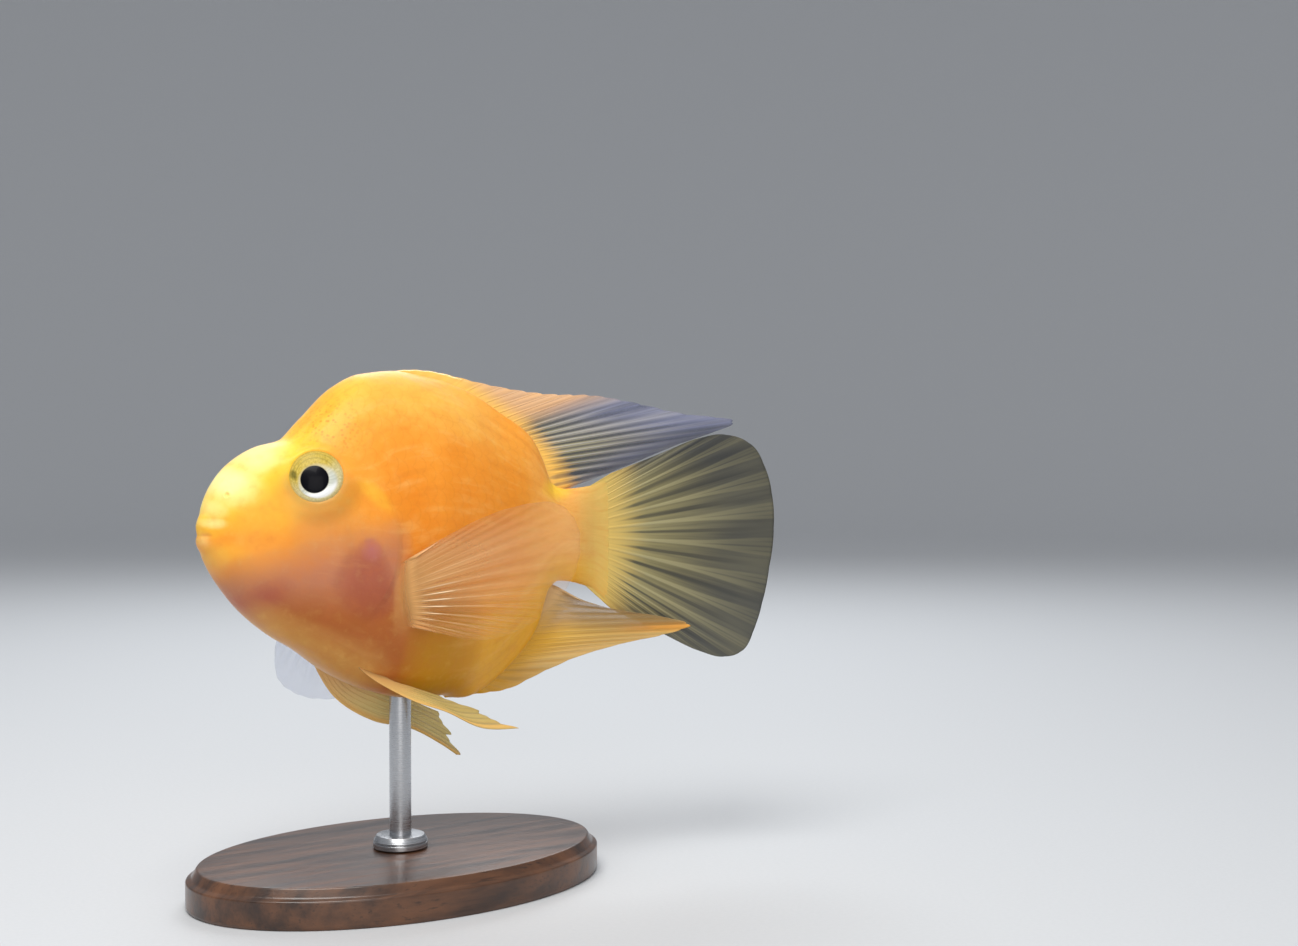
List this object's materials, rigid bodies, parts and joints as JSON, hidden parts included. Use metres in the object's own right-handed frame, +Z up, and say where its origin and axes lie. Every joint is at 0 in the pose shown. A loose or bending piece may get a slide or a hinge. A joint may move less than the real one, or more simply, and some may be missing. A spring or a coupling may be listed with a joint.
{
  "type": "blood parrot cichlid model",
  "caption": "Life-size display model of a swimming blood parrot cichlid, orange-yellow with see-through fins, held by a slim rod on an oval wooden base.",
  "frame": {"origin": "centre of the underside of the stand's base", "axes": "+X towards the fish's tail, the snout pointing to -X; +Z up; the fish's left side faces -Y"},
  "size_m": [0.1499, 0.0874, 0.1245],
  "materials": {
    "skin": "wet, softly shining orange-yellow skin with small scales",
    "fin": "thin see-through fin with raised rays, yellow-orange at the root",
    "eye": "glossy eye, silver-white iris and black pupil",
    "stand_wood": "dark stained wood, satin varnish",
    "stand_metal": "brushed"
  },
  "bodies": {
    "root": {"head": "skin", "torso": "skin", "tail_stalk": "skin", "fin_dorsal": "fin", "fin_anal": "fin", "fin_caudal": "fin", "fin_pectoral_left": "fin", "fin_pectoral_right": "fin", "fin_pelvic_left": "fin", "fin_pelvic_right": "fin", "eye_left": "eye", "eye_right": "eye", "stand_base": "stand_wood", "stand_rod": "stand_metal", "stand_collar": "stand_metal"}
  },
  "joints": []
}
